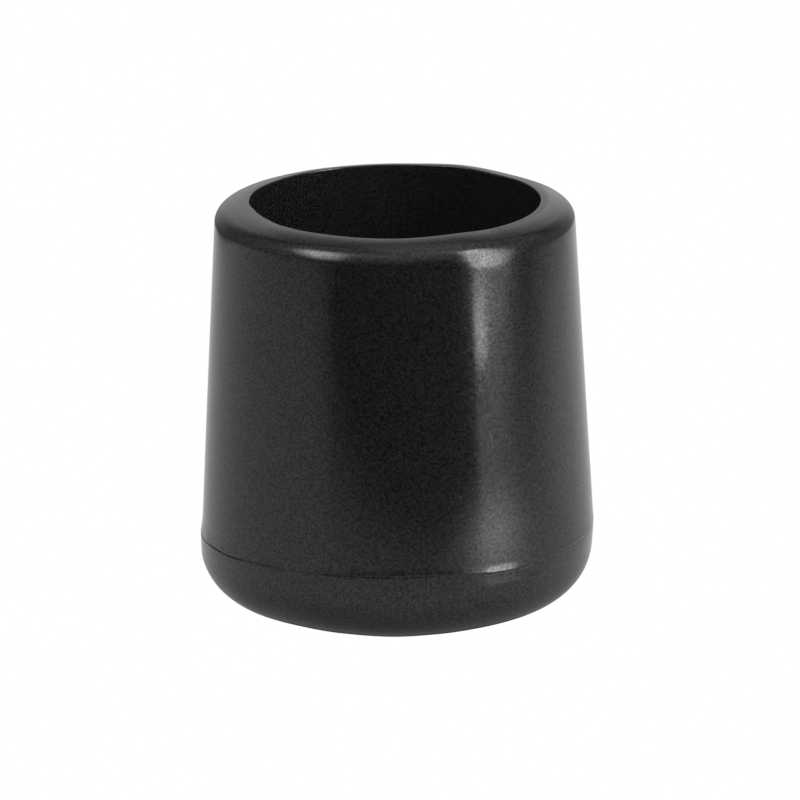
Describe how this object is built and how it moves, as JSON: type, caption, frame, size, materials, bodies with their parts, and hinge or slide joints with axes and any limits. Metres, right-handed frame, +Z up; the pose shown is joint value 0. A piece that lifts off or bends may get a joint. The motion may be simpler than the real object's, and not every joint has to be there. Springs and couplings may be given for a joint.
{
  "type": "chair leg cap",
  "caption": "Black rubber cap that pushes onto the end of a round tubular chair leg, with a flared skirt, a blind socket, a rounded rim and a flat foot",
  "frame": {"origin": "centre of the flat foot, on the floor", "axes": "+Z up along the cap's axis and out of the socket's mouth; turned shape, so X and Y are free"},
  "size_m": [0.03, 0.03, 0.0308],
  "materials": {
    "moulded_rubber": "semi-gloss moulded black, very fine grain"
  },
  "bodies": {
    "root": {"leg_cap": "moulded_rubber"}
  },
  "joints": []
}
